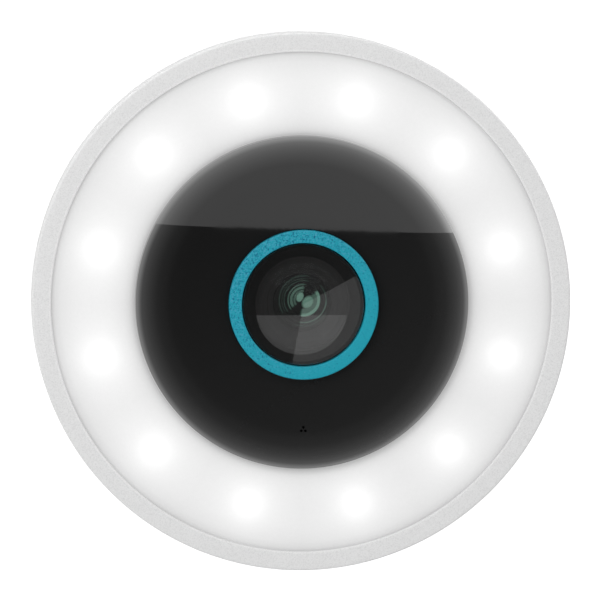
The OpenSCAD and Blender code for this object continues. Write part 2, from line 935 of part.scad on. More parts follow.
module lens_rear_element() {
    color("lightgray", 0.3) lens_element(rear_r, rear_z[0], rear_z[1], 0.7, 0.5);
}

module lens_holder() {
    bore_z = filter_z[1] + seal_gap;
    color("black") difference() {
        block([-holder_half.x, -holder_half.y, sensor_z], [holder_half.x, holder_half.y, holder_top]);
        disc(barrel_tube_r + run_fit, bore_z, holder_top + cut);
        block([-7, -6, sensor_z - cut], [7, 6, filter_z[0] - slip]);
        block([-filter_slot_x, -filter_half_y - seal_gap, filter_z[0] - seal_gap],
            [filter_slot_x, filter_half_y + seal_gap, bore_z + eps]);
    }
}

module image_sensor() {
    color("darkslategray") block([-5.5, -4.5, sensor_z], [5.5, 4.5, sensor_z + 1.2]);
}

module sensor_board() {
    color("darkgreen") difference() {
        block([-20, -17, sensor_board_z], [20, 17, sensor_z]);
        at_corners(sensor_post) disc(1.2, sensor_board_z - cut, sensor_z + cut);
    }
}

module sensor_screws() {
    color("silver") at_corners(sensor_post) screw_down(1.9, 1.4, 0.95, sensor_board_z, chassis_z + 0.5);
}

module filter_panes(inset, z0, z1) {
    for (x = filter_pane_x)
        block([x + inset, inset - filter_pane_half, z0],
            [x + filter_pane_w - inset, filter_pane_half - inset, z1]);
}

module ir_filter_frame() {
    color("dimgray") difference() {
        block([filter_x[0], -filter_half_y, filter_z[0]], [filter_x[1], filter_half_y, filter_z[1]]);
        filter_panes(0, filter_z[0] - cut, filter_z[1] + cut);
    }
}

module ir_filter_glass() {
    color("red", 0.5) filter_panes(eps, filter_z[0] + seal_gap, filter_z[1] - seal_gap);
}

module filter_motor() {
    color("silver") {
        translate([-motor_half, motor_y, motor_z]) rotate([0, 90, 0]) cylinder(r = motor_r, h = 2 * motor_half);
        block([-6, 12, sensor_z], [6, 16.4, sensor_z + 1.2]);
    }
}

module camera_chassis() {
    color("black") difference() {
        union() {
            disc(chassis_r, chassis_z, chassis_top);
            at_corners(sensor_post) disc(sensor_post_r, sensor_z, chassis_z + eps);
            for (x = [-radar_post.x, radar_post.x])
                translate([x, radar_post.y, 0]) disc(2, chassis_top - eps, radar_z);
            translate([0, mic_y, 0]) disc(2.6, chassis_top - eps, mic_board_z);
        }
        block([-14, -12, chassis_z - cut], [14, 17.2, chassis_top + cut]);
        at_corners(sensor_post) disc(1, sensor_z - cut, chassis_z + 1);
        at_angles(column_angles, column_ring) disc(pilot_r + screw_fit, chassis_z - cut, chassis_top + cut);
        at_angles(cover_post_angles, cover_post_ring)
            disc(pilot_r + screw_fit, chassis_z - cut, chassis_top + cut);
    }
}

module chassis_screws() {
    color("silver") at_angles(column_angles, column_ring)
        screw_up(2.7, 1.7, 1.2, chassis_top, chassis_z - column_pilot + 1);
}

// ---------------------------------------------------------------- electronics

module microphone() {
    z1 = mic_board_z + 1;
    color("gold") translate([0, mic_y, 0]) {
        block([-mic_board_half.x, -mic_board_half.y, mic_board_z], [mic_board_half.x, mic_board_half.y, z1]);
        disc(2.4, z1 - eps, z1 + 1.4);
    }
}

module microphone_boot() {
    color("dimgray") translate([0, mic_y, 0]) ring(1.5, 3.2, mic_board_z + 2.4, mic_boss_z - eps);
}

module radar_board() {
    top = radar_z + 1.2;
    color("darkgreen") {
        block([-radar_half, radar_y[0], radar_z], [radar_half, radar_y[1], top]);
        for (i = [-1:1])
            block([i * patch_pitch - 2.6, radar_y[0] + 5, top - slip],
                [i * patch_pitch + 2.6, radar_y[1] - 5, top + seal_gap]);
    }
}

module wifi_antennas() {
    color("goldenrod") for (side = [-1, 1])
        block([side * antenna_x - antenna_half.x, -antenna_half.y, chassis_top],
            [side * antenna_x + antenna_half.x, antenna_half.y, chassis_top + 0.8]);
}

// The main board with its shield can, two chips and the button's switch behind.
module main_board() {
    top = main_board_z + board_t;
    color("darkgreen") difference() {
        union() {
            disc(main_board_r, main_board_z, top);
            block([-30, -11, top - slip], [-8, 11, top + 2.2]);
            block([2, -10, top - slip], [16, 4, top + 1.2]);
            block([4, 22, top - slip], [14, 34, top + 1]);
            translate(button_at) block([-3, -3, switch_z], [3, 3, main_board_z + slip]);
        }
        at_angles(column_angles, column_ring) disc(column_r + 0.3, main_board_z - cut, top + cut);
        at_angles(board_post_angles, board_post_ring)
            disc(pilot_r + screw_fit, main_board_z - cut, top + cut);
    }
}

module board_screws() {
    color("silver") at_angles(board_post_angles, board_post_ring)
        screw_up(2.6, 1.7, 1.2, main_board_z + board_t, main_board_z - column_pilot + 1);
}

module power_board() {
    top = power_board_z + board_t;
    color("tan") difference() {
        intersection() {
            ring(power_board_ring[0], power_board_ring[1], power_board_z, top);
            block([-bay_r, power_board_edge_y, power_board_z - cut], [bay_r, bay_r, top + cut]);
        }
        at_angles(column_angles, column_ring) disc(column_r + 0.3, power_board_z - cut, top + cut);
        at_angles(board_post_angles, board_post_ring) disc(board_post_r + 0.3, power_board_z - cut, top + cut);
    }
}

// Transformer, three capacitors, filter coil and terminal block.
module power_components() {
    top = power_board_z + board_t;
    color("dimgray") {
        block([-36, 8, top], [-18, 26, top + 10]);
        for (p = [[22, 12], [33, 17], [22, 24]]) translate(p) disc(4.6, top, top + 10.4);
        block([-12, 20, top], [12, 32, top + 8]);
        block([24, -3, top], [36, 5, top + 8]);
    }
}

outward() wall_gasket();
outward() wall_base();
outward() base_cover();
outward() pan_thrust_washer();
outward() pan_collar();
outward() arm();
outward() pan_wave_washer();
outward() friction_discs();
outward() tilt_bolt();
outward() knob_washer();
outward() tilt_knob();
outward() neck();
outward() neck_seal();
outward() stop_washer();
outward() neck_wave_washer();
outward() neck_nut();
outward() rear_housing();
outward() outer_seal();
outward() inner_seal();
outward() front_bezel();
outward() bezel_screws();
outward() diffuser();
outward() reflector();
outward() thermal_pad();
outward() led_board();
outward() led_chips();
outward() led_board_screws();
outward() face_cover();
outward() cover_screws();
outward() lens_trim_ring();
outward() lens_window();
outward() lens_hood();
outward() lens_barrel();
outward() lens_front_element();
outward() lens_middle_element();
outward() aperture_stop();
outward() lens_rear_element();
outward() lens_holder();
outward() image_sensor();
outward() sensor_board();
outward() sensor_screws();
outward() ir_filter_frame();
outward() ir_filter_glass();
outward() filter_motor();
outward() camera_chassis();
outward() chassis_screws();
outward() microphone();
outward() microphone_boot();
outward() radar_board();
outward() wifi_antennas();
outward() main_board();
outward() board_screws();
outward() power_board();
outward() power_components();
outward() speaker();
outward() pair_button();
outward() vent_plug();
outward() cable_gland();
outward() gland_nut();
outward() gland_seal();
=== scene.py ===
"""Looks of the round floodlight security camera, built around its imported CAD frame."""
import json
import math

import bmesh
import bpy
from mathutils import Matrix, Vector


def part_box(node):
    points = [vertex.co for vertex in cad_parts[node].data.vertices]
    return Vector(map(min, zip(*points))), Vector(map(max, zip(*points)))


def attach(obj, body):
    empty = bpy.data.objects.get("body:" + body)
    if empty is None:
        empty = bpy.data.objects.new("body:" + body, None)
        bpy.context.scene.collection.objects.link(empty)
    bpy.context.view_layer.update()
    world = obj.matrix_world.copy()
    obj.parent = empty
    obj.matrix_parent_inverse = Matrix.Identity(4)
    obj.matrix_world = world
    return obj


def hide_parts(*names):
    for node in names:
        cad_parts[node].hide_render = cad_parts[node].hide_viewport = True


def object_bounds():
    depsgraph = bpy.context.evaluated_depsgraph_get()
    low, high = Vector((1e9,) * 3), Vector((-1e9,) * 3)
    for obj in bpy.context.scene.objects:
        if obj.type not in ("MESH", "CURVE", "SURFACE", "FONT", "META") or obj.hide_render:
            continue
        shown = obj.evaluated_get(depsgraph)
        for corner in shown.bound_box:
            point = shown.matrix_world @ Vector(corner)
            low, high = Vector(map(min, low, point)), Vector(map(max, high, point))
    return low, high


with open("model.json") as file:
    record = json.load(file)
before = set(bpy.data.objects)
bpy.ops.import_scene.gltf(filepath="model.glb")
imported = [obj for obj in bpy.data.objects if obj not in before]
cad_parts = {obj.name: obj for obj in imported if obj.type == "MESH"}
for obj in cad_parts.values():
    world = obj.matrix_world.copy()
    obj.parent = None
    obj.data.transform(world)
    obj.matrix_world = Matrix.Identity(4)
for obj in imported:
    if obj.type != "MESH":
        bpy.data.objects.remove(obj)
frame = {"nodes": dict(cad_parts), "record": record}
cad_low, cad_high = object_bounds()
NODES = frame["nodes"]
MM = 0.001


# ------------------------------------------------------------------ measures from the frame

def span(node):
    """(largest radius across x, distance of the back from the wall, distance of the front)."""
    low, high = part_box(node)
    return (high.x - low.x) / 2, -high.y, -low.y


HEAD_R, BEZEL_BACK, BEZEL_FRONT = span("front_bezel")
FACE_R, _, FACE_FRONT = span("face_cover")
TRIM_R, TRIM_BACK, TRIM_FRONT = span("lens_trim_ring")
WINDOW_R, WINDOW_BACK, WINDOW_FRONT = span("lens_window")
LENS_R, LENS_BACK, LENS_FRONT = span("lens_front_element")
DIFFUSER_R, DIFFUSER_BACK, DIFFUSER_FRONT = span("diffuser")
BARREL_R, BARREL_BACK, BARREL_FRONT = span("lens_barrel")
MIDDLE_R, MIDDLE_BACK, MIDDLE_FRONT = span("lens_middle_element")
BEZEL_WIDTH = 6 * MM
BEZEL_IN = HEAD_R - BEZEL_WIDTH
LED_RING = span("led_chips")[0]
LED_COUNT = 12

# Segments round a turned piece, the angle in degrees above which its edges stay sharp, and the distance
# in metres under which points count as one.
SEGMENTS = 192
FINE_SEGMENTS = 288
SHARP_ANGLE = 32
SAME_POINT = 1e-7

# The face: a flat, a roll (a stretch of an ellipse from 90 degrees down to FACE_ROLL_END), a shoulder whose
# rows each turn by a little more (in degrees), and a short side.
FACE_ROLL = 15.6 * MM
FACE_ROLL_END = 32
FACE_EDGE = DIFFUSER_BACK + 1.1 * MM
FACE_SIDE_TOP = FACE_EDGE + 1.5 * MM
FACE_FLAT_R = FACE_R - FACE_ROLL
FACE_RISE = FACE_FRONT - FACE_SIDE_TOP
FACE_WALL = 2.4 * MM
ROLL_ROWS = 48
SHOULDER_ROWS = 12
SHOULDER_TURN = 0.12
SHOULDER_INSET = 0.15 * MM

# Glow of the diffuser: (place from the face to the bezel, level), a spot over each LED, and painted light:
# how much the level rises to the upper left, DIFFUSER_PAINTED_LEAN as far out as LEAN_FADE_START, then
# fading to OUTER_PAINTED_LEAN.
RING_GLOW = [(0.0, 0.31), (0.06, 0.39), (0.15, 0.445), (0.30, 0.475), (0.55, 0.478), (0.72, 0.465),
             (0.88, 0.41), (0.95, 0.34), (1.0, 0.275)]
SPOT_SIZE = 5 * MM
SPOT_GLOW = 0.34
DIFFUSER_PAINTED_LEAN = 0.32
OUTER_PAINTED_LEAN = -0.25
LEAN_FADE_START = 0.4

# Painted highlights: the face's rim and the bezel's inner lip glow as though they took up light from the
# diffuser; the lip's painted highlight is stronger to the upper left.
PAINTED_RIM_HIGHLIGHT = 0.15
RIM_WIDTH = 2.2 * MM
PAINTED_LIP_HIGHLIGHT = 0.085
PAINTED_LIP_LEAN = 0.65
LIP_WIDTH = 0.9 * MM

# Painted reflections: glints painted on the lens coatings, about a centre (x, z) off the lens axis.
PAINTED_GLINT_LEVEL = 0.27
PAINTED_GLINT_COLOUR = (0.52, 1.0, 0.78, 1.0)
GLINT_SHIFT = (0.5 * MM, 0.8 * MM)
# Blobs: (place in mm, half axes in mm, turn in degrees, strength); softness as a share of the half axes.
GLINT_BLOBS = [((-1.15, 0.95), (1.0, 1.5), -24, 1.0), ((1.35, -0.70), (2.05, 1.6), 50, 0.92)]
BLOB_SOFTNESS = 0.5
# Arcs: (radius in mm, half width in mm, heading in degrees, half angle in degrees, strength).
GLINT_ARCS = [
    (4.75, 0.48, -33, 66, 0.95),
    (3.6, 0.80, -36, 66, 0.42),
    (4.85, 0.20, 150, 66, 0.40),
    (3.85, 0.40, 150, 62, 0.50),
    (2.85, 0.36, 150, 62, 0.36),
    (7.1, 0.18, -50, 50, 0.42),
    (7.0, 0.14, 15, 20, 0.24),
    (8.1, 0.14, -70, 40, 0.16),
    (6.1, 0.16, 146, 70, 0.17),
    (6.8, 0.12, 146, 66, 0.11),
    (7.6, 0.20, 146, 66, 0.13),
]
ARC_SOFTNESS = 0.3 * MM
ARC_END_SOFTNESS = 0.1


# ------------------------------------------------------------------ mesh helpers

def finish_mesh(name, bm, materials, body, sharp_angle):
    """Turns a bmesh into a smooth-shaded piece that rides on a body."""
    bmesh.ops.remove_doubles(bm, verts=bm.verts, dist=SAME_POINT)
    bmesh.ops.recalc_face_normals(bm, faces=bm.faces)
    limit = math.radians(sharp_angle)
    for edge in bm.edges:
        edge.smooth = len(edge.link_faces) == 2 and edge.calc_face_angle(0) < limit
    for face in bm.faces:
        face.smooth = True
    mesh = bpy.data.meshes.new(name)
    bm.to_mesh(mesh)
    bm.free()
    piece = bpy.data.objects.new(name, mesh)
    bpy.context.scene.collection.objects.link(piece)
    for material in materials:
        mesh.materials.append(material)
    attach(piece, body)
    return piece


def arc(cx, cy, rx, ry, a0, a1, n):
    """Points of an elliptical arc, angles in degrees."""
    steps = [math.radians(a0 + (a1 - a0) * i / n) for i in range(n + 1)]
    return [(cx + rx * math.cos(a), cy + ry * math.sin(a)) for a in steps]


def rounded(corners, n):
    """An outline from (x, y, radius) corners, each rounded by its radius."""
    points = []
    for i, (x, y, radius) in enumerate(corners):
        here = Vector((x, y))
        before = Vector(corners[i - 1][:2])
        after = Vector(corners[(i + 1) % len(corners)][:2])
        if radius <= 0:
            points.append((x, y))
            continue
        u, v = (before - here).normalized(), (after - here).normalized()
        half = u.angle(v) / 2
        limit = min((before - here).length, (after - here).length) * 0.49
        reach = min(radius / math.tan(half), limit)
        radius = reach * math.tan(half)
        middle = here + (u + v).normalized() * (radius / math.sin(half))
        start, end = here + u * reach - middle, here + v * reach - middle
        turn = math.atan2(start.x * end.y - start.y * end.x, start.dot(end))
        for k in range(n + 1):
            a = turn * k / n
            points.append((middle.x + start.x * math.cos(a) - start.y * math.sin(a),
                           middle.y + start.x * math.sin(a) + start.y * math.cos(a)))
    return points


def turn_outline(bm, profile, segments, x=0.0, z=0.0):
    """Turns a closed (radius, distance from the wall) outline about an axis along Y through (x, z)."""
    turns = [2 * math.pi * k / segments for k in range(segments)]
    rings = []
    for r, d in profile:
        if r < SAME_POINT:
            rings.append([bm.verts.new((x, -d, z))])
        else:
            rings.append([bm.verts.new((x + r * math.cos(a), -d, z + r * math.sin(a))) for a in turns])
    for i, ring in enumerate(rings):
        after = rings[(i + 1) % len(rings)]
        if len(ring) == 1 and len(after) == 1:
            continue
        for k in range(segments):
            j = (k + 1) % segments
            corners = [ring[k % len(ring)], ring[j % len(ring)],
                       after[j % len(after)], after[k % len(after)]]
            bm.faces.new(list(dict.fromkeys(corners)))


def lathe(name, profile, materials, segments=SEGMENTS, sharp_angle=SHARP_ANGLE):
    """A piece of the head, turned about its axis."""
    bm = bmesh.new()
    turn_outline(bm, profile, segments)
    return finish_mesh(name, bm, materials, "head", sharp_angle)


# ------------------------------------------------------------------ material helpers

def srgb(*levels):
    """Linear colour from 8-bit display levels."""
    def linear(v):
        v /= 255
        return v / 12.92 if v <= 0.04045 else ((v + 0.055) / 1.055) ** 2.4
    return tuple(linear(v) for v in levels) + (1.0,)


def grey(level):
    """Linear grey from one 8-bit display level."""
    return srgb(level, level, level)


def level_colour(level):
    """The grey of a linear level."""
    return (level, level, level, 1.0)


WHITE = level_colour(1.0)


def new_material(name, colour, roughness, **sockets):
    """A Principled material with its uniform values on the shader's own sockets."""
    material = bpy.data.materials.new(name)
    material.use_nodes = True
    material.diffuse_color = colour
    shader = material.node_tree.nodes["Principled BSDF"]
    shader.inputs["Base Color"].default_value = colour
    shader.inputs["Roughness"].default_value = roughness
    for socket, value in sockets.items():
        shader.inputs[socket.replace("_", " ")].default_value = value
    return material


def node(material, kind, **settings):
    """A shader node; the settings name its sockets or its properties."""
    made = material.node_tree.nodes.new(kind)
    for key, value in settings.items():
        if key in made.inputs:
            made.inputs[key].default_value = value
        else:
            setattr(made, key, value)
    return made


def link(material, start, end):
    material.node_tree.links.new(start, end)


def shader_of(material):
    return material.node_tree.nodes["Principled BSDF"]


def object_coords(material):
    return node(material, "ShaderNodeTexCoord").outputs["Object"]


def noise(material, scale, detail=2.0, roughness=0.5):
    """Noise over the object; the scale is in cells per metre."""
    made = node(material, "ShaderNodeTexNoise", Scale=scale, Detail=detail, Roughness=roughness)
    link(material, object_coords(material), made.inputs["Vector"])
    return made.outputs["Fac"]


def ramp(material, value, stops, interpolation="LINEAR"):
    """A colour ramp from (position, colour) stops."""
    made = node(material, "ShaderNodeValToRGB")
    made.color_ramp.interpolation = interpolation
    elements = made.color_ramp.elements
    while len(elements) < len(stops):
        elements.new(0.5)
    for element, (position, colour) in zip(elements, stops):
        element.position = position
        element.color = colour
    link(material, value, made.inputs["Fac"])
    return made.outputs["Color"]


def maths(material, operation, a, b=None, c=None):
    """One step of arithmetic on sockets or numbers."""
    made = node(material, "ShaderNodeMath", operation=operation)
    for socket, value in zip(made.inputs, (a, b, c)):
        if value is None:
            continue
        if isinstance(value, (int, float)):
            socket.default_value = value
        else:
            link(material, value, socket)
    return made.outputs[0]


def rescale(material, value, low, high, to_low, to_high, smooth=False):
    """Maps low and high to to_low and to_high, and holds what is beyond."""
    made = node(material, "ShaderNodeMapRange")
    made.interpolation_type = "SMOOTHSTEP" if smooth else "LINEAR"
    for socket, number in zip(("From Min", "From Max", "To Min", "To Max"), (low, high, to_low, to_high)):
        made.inputs[socket].default_value = number
    link(material, value, made.inputs["Value"])
    return made.outputs["Result"]


def soft_step(material, value, low, high):
    """0 below low, 1 above high, smooth between; low may be above high to turn it round."""
    return rescale(material, value, low, high, 0.0, 1.0, smooth=True)


def separate(material):
    """The x, y and z sockets of the object coordinates."""
    split = node(material, "ShaderNodeSeparateXYZ")
    link(material, object_coords(material), split.inputs[0])
    return split.outputs[0], split.outputs[1], split.outputs[2]


def sum_of_squares(material, a, b):
    return maths(material, "ADD", maths(material, "MULTIPLY", a, a), maths(material, "MULTIPLY", b, b))


def hypotenuse(material, a, b):
    """The length of (a, b); of the coordinates x and z, it is the distance from the head's axis."""
    return maths(material, "SQRT", sum_of_squares(material, a, b))


def to_upper_left(material, x, z):
    """A value that grows towards the upper left of the front."""
    return maths(material, "SUBTRACT", z, x)


def brightness(material, colour_socket):
    """The value of a grey colour."""
    made = node(material, "ShaderNodeRGBToBW")
    link(material, colour_socket, made.inputs[0])
    return made.outputs[0]


def give_glow(material, strength, colour=WHITE):
    """Lets the surface give off light; the strength is a socket."""
    shader = shader_of(material)
    shader.inputs["Emission Color"].default_value = colour
    link(material, strength, shader.inputs["Emission Strength"])


def tint(colour, factor):
    """A colour made darker or paler by a factor."""
    return tuple(min(1.0, c * factor) for c in colour[:3]) + (1.0,)


def grain(material, layers):
    """Chains bumps from (scale, height in metres, strength) noise layers."""
    before = None
    for scale, height, strength in layers:
        bump = node(material, "ShaderNodeBump", Strength=strength, Distance=height)
        link(material, noise(material, scale, 3.0), bump.inputs["Height"])
        if before:
            link(material, before, bump.inputs["Normal"])
        before = bump.outputs["Normal"]
    link(material, before, shader_of(material).inputs["Normal"])


# The noise values of a full dark speck, of the two ends of the base colour, and of a full pale speck; and
# those that give the lowest and the highest roughness.
SPECK_STOPS = (0.36, 0.46, 0.54, 0.64)
GLOSS_STOPS = (0.3, 0.7)


def speckle(material, colour, scale, dark, light):
    """Fine darker and lighter specks over a base colour."""
    tones = (tint(colour, dark), colour, colour, tint(colour, light))
    specks = ramp(material, noise(material, scale, 2.0, 0.7), list(zip(SPECK_STOPS, tones)))
    link(material, specks, shader_of(material).inputs["Base Color"])


def uneven_gloss(material, scale, low, high):
    """Roughness that wanders between low and high."""
    roughness = rescale(material, noise(material, scale), *GLOSS_STOPS, low, high)
    link(material, roughness, shader_of(material).inputs["Roughness"])


# ------------------------------------------------------------------ materials

def make_bezel_plastic():
    """Pale grey plastic with a fine spark-eroded texture; a highlight is painted on its inner lip."""
    colour = grey(229)
    material = new_material("bezel_plastic", colour, roughness=0.5, Specular_IOR_Level=0.4)
    speckle(material, colour, scale=2600, dark=0.90, light=1.05)
    uneven_gloss(material, scale=1800, low=0.42, high=0.6)
    grain(material, [(3200, 0.05 * MM, 0.5), (900, 0.05 * MM, 0.2)])
    x, _, z = separate(material)
    # Painted highlight: a glow on the inner lip, stronger to the upper left.
    lip = soft_step(material, hypotenuse(material, x, z), BEZEL_IN + LIP_WIDTH, BEZEL_IN)
    glow = maths(material, "MULTIPLY_ADD", to_upper_left(material, x, z), PAINTED_LIP_LEAN, PAINTED_LIP_HIGHLIGHT)
    give_glow(material, maths(material, "MULTIPLY", lip, glow))
    return material


def make_powder_coat():
    """White powder coat with a light orange peel."""
    colour = grey(228)
    material = new_material("powder_coat", colour, roughness=0.45, Specular_IOR_Level=0.5)
    speckle(material, colour, scale=1600, dark=0.95, light=1.03)
    uneven_gloss(material, scale=500, low=0.38, high=0.55)
    grain(material, [(700, 0.12 * MM, 0.25), (2400, 0.04 * MM, 0.35)])
    return material


def make_moulded_white():
    """White moulded plastic of the bracket's collar, knob and cover."""
    colour = grey(224)
    material = new_material("moulded_white", colour, roughness=0.4, Specular_IOR_Level=0.5)
    speckle(material, colour, scale=2000, dark=0.96, light=1.03)
    uneven_gloss(material, scale=700, low=0.34, high=0.5)
    grain(material, [(2800, 0.03 * MM, 0.4)])
    return material


# The teal's specks: their contrast at TEAL_REACH to the lower right and to the upper left.
TEAL_REACH = 30 * MM
TEAL_CONTRAST = (0.45, 1.1)
TEAL_STOPS = (0.36, 0.45, 0.56, 0.64)


def make_teal():
    """Teal satin trim with fine dark and paler specks, stronger to the upper left."""
    colour, dark, pale = srgb(24, 155, 174), srgb(10, 96, 128), srgb(70, 154, 182)
    material = new_material("teal_trim", colour, roughness=0.55, Specular_IOR_Level=0.15)
    x, _, z = separate(material)
    gain = rescale(material, to_upper_left(material, x, z), -TEAL_REACH, TEAL_REACH, *TEAL_CONTRAST)
    specks = maths(material, "SUBTRACT", noise(material, 2200, 1.5, 0.8), 0.5)
    tones = list(zip(TEAL_STOPS, (dark, colour, colour, pale)))
    fine = ramp(material, maths(material, "MULTIPLY_ADD", specks, gain, 0.5), tones)
    link(material, fine, shader_of(material).inputs["Base Color"])
    grain(material, [(2600, 0.04 * MM, 0.4)])
    return material


# Painted shade: the face's black is painted paler along this (right, down) direction, from
# PAINTED_SHADE_REACH before the axis to PAINTED_SHADE_REACH beyond it; noise takes a small share.
PAINTED_SHADE_LEAN = (0.5, 0.87)
PAINTED_SHADE_REACH = 45 * MM
SHADE_NOISE = 0.06


def make_piano_black():
    """Black under a clear, smooth lacquer, with painted shade: a little paler to the lower right; and a
    painted highlight that glows on its thin rim."""
    material = new_material("piano_black", grey(27), roughness=0.45, Specular_IOR_Level=0.0,
                            Coat_Weight=1.0, Coat_Roughness=0.012, Coat_IOR=1.5)
    x, _, z = separate(material)
    # Painted shade: the black grows paler to the lower right.
    painted_lean = maths(material, "SUBTRACT", maths(material, "MULTIPLY", x, PAINTED_SHADE_LEAN[0]),
                 maths(material, "MULTIPLY", z, PAINTED_SHADE_LEAN[1]))
    painted_shade = maths(material, "ADD", rescale(material, painted_lean, -PAINTED_SHADE_REACH, PAINTED_SHADE_REACH, 0.0, 1 - SHADE_NOISE),
                  maths(material, "MULTIPLY", noise(material, 900), SHADE_NOISE))
    black = ramp(material, painted_shade, [(0.0, grey(22)), (1.0, grey(34))])
    link(material, black, shader_of(material).inputs["Base Color"])
    # Painted highlight: a glow on the face's thin rim.
    rim = soft_step(material, hypotenuse(material, x, z), FACE_R - RIM_WIDTH, FACE_R)
    give_glow(material, maths(material, "MULTIPLY", rim, PAINTED_RIM_HIGHLIGHT))
    return material


def make_matt_black():
    """Black plastic without gloss."""
    colour = grey(28)
    material = new_material("matt_black", colour, roughness=0.8, Specular_IOR_Level=0.08)
    speckle(material, colour, scale=1500, dark=0.85, light=1.15)
    grain(material, [(2600, 0.04 * MM, 0.4)])
    return material


def make_anodised():
    """Black anodised aluminium."""
    colour = grey(34)
    material = new_material("black_anodised", colour, roughness=0.35, Specular_IOR_Level=0.4)
    speckle(material, colour, scale=2200, dark=0.85, light=1.15)
    uneven_gloss(material, scale=1500, low=0.28, high=0.45)
    return material


def led_spots(material, x, z, radius):
    """A soft spot of light over each LED."""
    pitch = 2 * math.pi / LED_COUNT
    turn = maths(material, "DIVIDE", maths(material, "ARCTAN2", z, x), pitch)
    off_led = maths(material, "SUBTRACT", maths(material, "FRACT", turn), 0.5)
    along = maths(material, "MULTIPLY", maths(material, "MULTIPLY", off_led, pitch), radius)
    across = maths(material, "SUBTRACT", radius, LED_RING)
    squares = sum_of_squares(material, along, across)
    fall = maths(material, "MULTIPLY_ADD", squares, 1 / SPOT_SIZE ** 2, 1.0)
    return maths(material, "DIVIDE", SPOT_GLOW, fall)


def make_opal():
    """Opal diffuser, lit from behind by the LEDs: a glow by radius, a soft spot over each LED, and painted
    light that leans the glow to the upper left, and near the bezel to the lower right.
    """
    colour = grey(168)
    material = new_material("opal_diffuser", colour, roughness=0.35, Specular_IOR_Level=0.25)
    x, _, z = separate(material)
    radius = hypotenuse(material, x, z)
    place = rescale(material, radius, FACE_R, BEZEL_IN, 0.0, 1.0)
    levels = ramp(material, place, [(at, level_colour(level)) for at, level in RING_GLOW], "B_SPLINE")
    # Painted light: the glow rises to the upper left, and near the bezel to the lower right.
    painted_lean = maths(material, "MULTIPLY", to_upper_left(material, x, z),
                 rescale(material, place, LEAN_FADE_START, 1.0, DIFFUSER_PAINTED_LEAN, OUTER_PAINTED_LEAN))
    spots = led_spots(material, x, z, radius)
    glow = maths(material, "ADD", maths(material, "ADD", brightness(material, levels), spots), painted_lean)
    give_glow(material, glow)
    speckle(material, colour, scale=1200, dark=0.98, light=1.02)
    grain(material, [(2400, 0.02 * MM, 0.25)])
    return material


def make_glass(name, colour, ior):
    """Clear glass, tinted by its colour."""
    material = new_material(name, colour, roughness=0.0, Transmission_Weight=1.0, IOR=ior)
    speckle(material, colour, scale=300, dark=0.98, light=1.02)
    return material


def painted_glint(material, x, z, place, size, turn):
    """A soft-edged ellipse: its place and half axes in mm, its turn in degrees."""
    c, s = math.cos(math.radians(turn)), math.sin(math.radians(turn))
    dx = maths(material, "SUBTRACT", x, place[0] * MM)
    dz = maths(material, "SUBTRACT", z, place[1] * MM)
    half_along, half_across = size[0] * MM, size[1] * MM
    along = maths(material, "ADD", maths(material, "MULTIPLY", dx, c / half_along),
                  maths(material, "MULTIPLY", dz, s / half_along))
    across = maths(material, "SUBTRACT", maths(material, "MULTIPLY", dz, c / half_across),
                   maths(material, "MULTIPLY", dx, s / half_across))
    distance = hypotenuse(material, along, across)
    return soft_step(material, distance, 1 + BLOB_SOFTNESS / 2, 1 - BLOB_SOFTNESS / 2)


# Keeps painted_arc_glint from dividing by zero at the centre, in square metres.
TINY_SQUARE = 1e-10


def painted_arc_glint(material, x, z, radius, half_width, heading, half_angle):
    """A soft-edged arc about the glints' centre: lengths in mm, angles in degrees."""
    r = maths(material, "SQRT", maths(material, "ADD", sum_of_squares(material, x, z), TINY_SQUARE))
    off = maths(material, "ABSOLUTE", maths(material, "SUBTRACT", r, radius * MM))
    band = soft_step(material, off, half_width * MM + ARC_SOFTNESS / 2, half_width * MM - ARC_SOFTNESS / 2)
    c, s = math.cos(math.radians(heading)), math.sin(math.radians(heading))
    facing = maths(material, "DIVIDE", maths(material, "ADD", maths(material, "MULTIPLY", x, c),
                                             maths(material, "MULTIPLY", z, s)), r)
    edge = math.cos(math.radians(half_angle))
    inside = soft_step(material, facing, edge - ARC_END_SOFTNESS, edge + ARC_END_SOFTNESS)
    return maths(material, "MULTIPLY", band, inside)


def make_coated_lens():
    """Dark multicoated lens stack, with greenish glints deep inside painted as reflections."""
    colour = (0.019, 0.0194, 0.019, 1)
    material = new_material("coated_lens", colour, roughness=0.2, Specular_IOR_Level=0.1)
    speckle(material, colour, scale=1200, dark=0.8, light=1.2)
    x, _, z = separate(material)
    x = maths(material, "SUBTRACT", x, GLINT_SHIFT[0])
    z = maths(material, "SUBTRACT", z, GLINT_SHIFT[1])
    layers = [(painted_glint(material, x, z, *shape), strength) for *shape, strength in GLINT_BLOBS]
    layers += [(painted_arc_glint(material, x, z, *shape), strength) for *shape, strength in GLINT_ARCS]
    # Painted reflections: the glints are painted as a green glow.
    painted_glints = None
    for mask, strength in layers:
        part = maths(material, "MULTIPLY", mask, strength * PAINTED_GLINT_LEVEL)
        painted_glints = part if painted_glints is None else maths(material, "MAXIMUM", painted_glints, part)
    give_glow(material, painted_glints, PAINTED_GLINT_COLOUR)
    return material


def make_rubber():
    """Black rubber of the seals."""
    colour = grey(38)
    material = new_material("rubber", colour, roughness=0.75, Specular_IOR_Level=0.3)
    speckle(material, colour, scale=1300, dark=0.85, light=1.15)
    grain(material, [(1800, 0.05 * MM, 0.4)])
    return material


def make_steel():
    """Zinc plated steel with faint turning marks."""
    colour = (0.55, 0.56, 0.57, 1)
    material = new_material("plated_steel", colour, roughness=0.3, Metallic=1.0)
    speckle(material, colour, scale=1400, dark=0.85, light=1.1)
    uneven_gloss(material, scale=900, low=0.22, high=0.42)
    grain(material, [(2600, 0.02 * MM, 0.1)])
    return material


def make_plain(name, colour, roughness, scale=1200, spread=0.08, **sockets):
    """Moulded or printed part: a base colour with fine variation and a fine grain."""
    material = new_material(name, colour, roughness, **sockets)
    speckle(material, colour, scale, dark=1 - spread, light=1 + spread)
    grain(material, [(scale * 2, 0.03 * MM, 0.3)])
    return material


